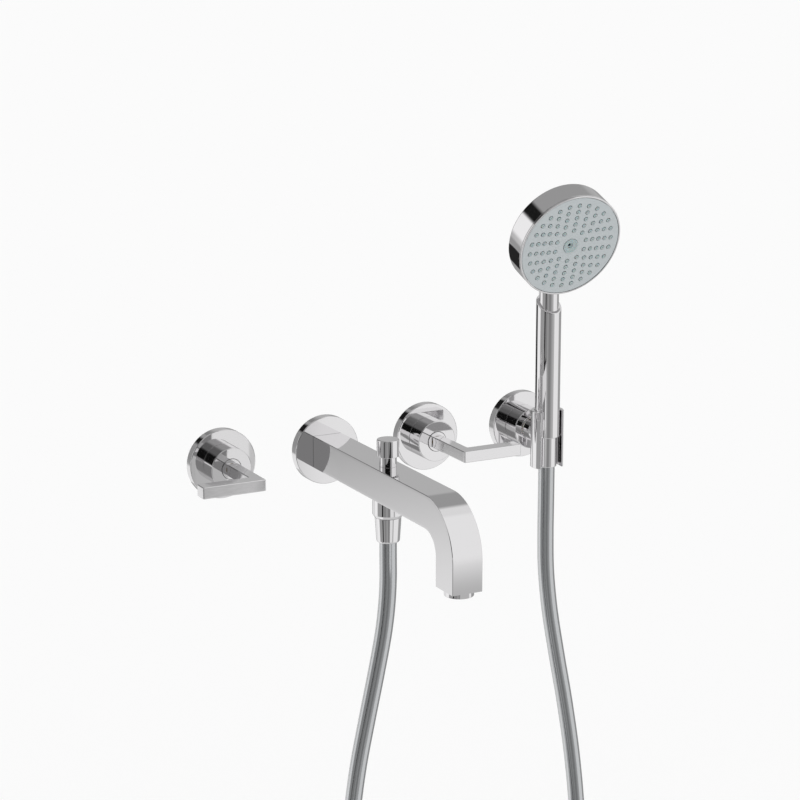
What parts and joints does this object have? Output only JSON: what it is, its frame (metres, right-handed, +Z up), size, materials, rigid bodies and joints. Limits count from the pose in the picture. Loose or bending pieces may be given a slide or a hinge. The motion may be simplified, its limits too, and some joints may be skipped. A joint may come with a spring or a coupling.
{
  "type": "wall mounted bath faucet",
  "caption": "Wall mounted bath faucet with a square bent spout, lever valves on round rosettes, a pull-up diverter and a hand shower in a clip with its hose.",
  "frame": {"origin": "middle of the spout rosette on the wall", "axes": "+Z up, -Y out from the wall, +X towards the hand shower"},
  "size_m": [0.3925, 0.26, 0.8075],
  "materials": {
    "chrome": "polished chrome plate",
    "brass": "machined",
    "steel": "machined stainless",
    "rubber": "moulded matt",
    "white_plastic": "moulded acetal",
    "spray_grey": "fine satin moulded ABS",
    "silicone": "moulded silicone",
    "hose_silver": "smooth silver foil under clear vinyl"
  },
  "bodies": {
    "fixed": {"left_gasket": "rubber", "left_rosette": "chrome", "left_hub": "chrome", "left_bonnet": "brass", "left_cartridge": "white_plastic", "left_collar": "chrome", "right_gasket": "rubber", "right_rosette": "chrome", "right_hub": "chrome", "right_bonnet": "brass", "right_cartridge": "white_plastic", "right_collar": "chrome", "spout_gasket": "rubber", "spout_rosette": "chrome", "spout_body": "chrome", "spout_nipple": "brass", "spout_washer": "rubber", "spout_screw": "steel", "aerator_housing": "chrome", "aerator_insert": "white_plastic", "aerator_seal": "rubber", "diverter_bush": "chrome", "outlet_collar": "chrome", "check_valve": "white_plastic", "outlet_washer": "rubber", "outlet_hose_nut": "chrome", "holder_gasket": "rubber", "holder_rosette": "chrome", "holder_wall_plate": "brass", "holder_screw_upper": "steel", "holder_screw_lower": "steel", "holder_hub": "chrome", "holder_hub_screw": "steel", "holder_friction_ring": "white_plastic", "hose_tube": "hose_silver"},
    "left_handle": {"left_lever": "chrome", "left_lever_screw": "steel", "left_spindle": "brass"},
    "right_handle": {"right_lever": "chrome", "right_lever_screw": "steel", "right_spindle": "brass"},
    "diverter": {"diverter_knob": "chrome", "diverter_rod": "steel", "diverter_disc": "brass", "diverter_seal": "rubber", "diverter_spring": "steel"},
    "holder": {"handset_clip": "chrome", "holder_retaining_screw": "steel"},
    "handset": {"handle_tube": "chrome", "handle_inlet": "brass", "handle_waterway": "white_plastic", "handset_hose_nut": "chrome", "handset_washer": "rubber", "head_shell": "chrome", "head_trim_ring": "chrome", "spray_plate": "spray_grey", "nozzle_mat": "silicone", "water_distributor": "white_plastic", "centre_nozzle": "silicone"}
  },
  "joints": [
    {"name": "left_lever_turn", "type": "hinge", "parent": "fixed", "child": "left_handle", "pos_m": [-0.098, 0, 0], "axis": [0, -1, 0], "range_deg": [0, 90]},
    {"name": "right_lever_turn", "type": "hinge", "parent": "fixed", "child": "right_handle", "pos_m": [0.098, 0, 0], "axis": [0, 1, 0], "range_deg": [0, 90]},
    {"name": "diverter_lift", "type": "slide", "parent": "fixed", "child": "diverter", "axis": [0, 0, 1], "range_m": [0, 0.008]},
    {"name": "holder_swivel", "type": "hinge", "parent": "fixed", "child": "holder", "pos_m": [0.195, 0, 0], "axis": [0, -1, 0], "range_deg": [-30, 30], "deforming": ["hose_tube"]},
    {"name": "handset_lift", "type": "slide", "parent": "holder", "child": "handset", "axis": [0, 0, 1], "range_m": [0, 0.026], "deforming": ["hose_tube"]}
  ]
}
